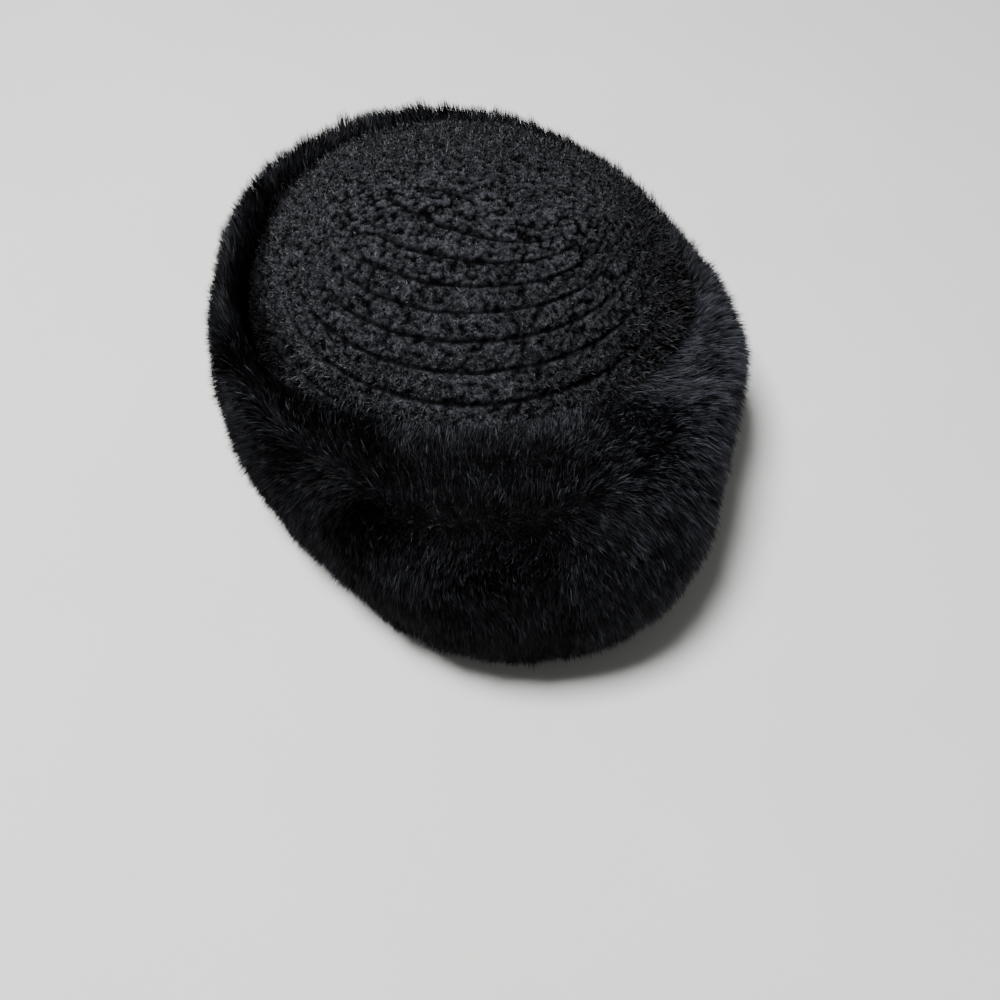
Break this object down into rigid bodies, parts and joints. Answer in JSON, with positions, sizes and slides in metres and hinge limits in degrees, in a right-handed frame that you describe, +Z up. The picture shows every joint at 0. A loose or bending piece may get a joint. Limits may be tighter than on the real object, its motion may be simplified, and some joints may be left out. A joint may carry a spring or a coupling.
{
  "type": "cossack hat",
  "caption": "Cossack hat with a soft domed crown, quilted in an oval spiral, and a deep turned-up cuff of long black fur that hides the side of the crown. Worn on the head for warmth.",
  "frame": {"origin": "middle of the hat's bounding box, on the surface it rests on", "axes": "+Z up through the crown; -Y towards the deep front of the cuff; +X towards the wearer's left, where the cuff sags"},
  "size_m": [0.2326, 0.2693, 0.12],
  "materials": {
    "chenille": "matt, nubbly",
    "fur": "long pile with a soft sheen"
  },
  "bodies": {
    "root": {"crown": "chenille", "fur_cuff": "fur"}
  },
  "joints": []
}
